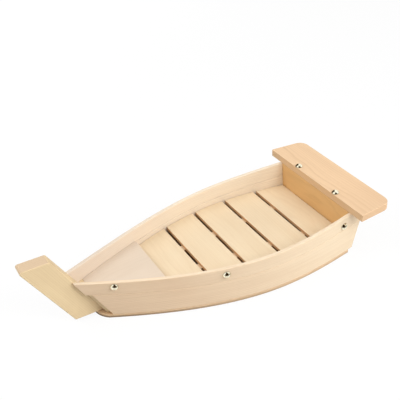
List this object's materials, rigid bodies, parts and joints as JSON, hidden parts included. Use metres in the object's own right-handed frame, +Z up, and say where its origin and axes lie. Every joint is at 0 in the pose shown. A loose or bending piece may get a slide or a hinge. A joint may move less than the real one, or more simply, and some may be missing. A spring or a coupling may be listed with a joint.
{
  "type": "wooden sushi boat",
  "caption": "Boat-shaped wooden serving tray with bent planks on a flat bottom, a raked stem, a stern board and a slatted deck that lifts out.",
  "frame": {"origin": "middle of the bounding box's bottom face, on the underside of the bottom board", "axes": "+X runs aft from the stem to the stern board, +Y to starboard across the symmetry plane, +Z up"},
  "size_m": [0.45, 0.1968, 0.0975],
  "materials": {
    "plank_wood": "fine sanded, bare softwood with straight grain along the planks",
    "slat_wood": "fine sanded, bare softwood with grain across the boat",
    "stem_wood": "fine sanded, bare softwood with grain along the stem",
    "foredeck_wood": "fine sanded, paler and greyer softwood",
    "stern_wood": "fine sanded, slightly pink softwood",
    "bottom_wood": "sawn softwood",
    "tack_metal": "bright plated",
    "brad_metal": "bare wire"
  },
  "bodies": {
    "hull": {"bottom_board": "bottom_wood", "port_lower_plank": "plank_wood", "starboard_lower_plank": "plank_wood", "port_gunwale_strake": "plank_wood", "starboard_gunwale_strake": "plank_wood", "stem_plank": "stem_wood", "bow_block": "stem_wood", "foredeck": "foredeck_wood", "foredeck_bulkhead": "bottom_wood", "transom": "stern_wood", "stern_board": "stern_wood", "port_strake_tacks": "tack_metal", "starboard_strake_tacks": "tack_metal", "stern_board_tacks": "tack_metal", "bottom_brads": "brad_metal"},
    "deck": {"deck_slat_1": "slat_wood", "deck_slat_2": "slat_wood", "deck_slat_3": "slat_wood", "deck_slat_4": "slat_wood", "deck_slat_5": "slat_wood", "port_deck_batten": "slat_wood", "starboard_deck_batten": "slat_wood"}
  },
  "joints": [
    {"name": "deck_lift", "type": "slide", "parent": "hull", "child": "deck", "axis": [0, 0, 1], "range_m": [0, 0.1]}
  ]
}
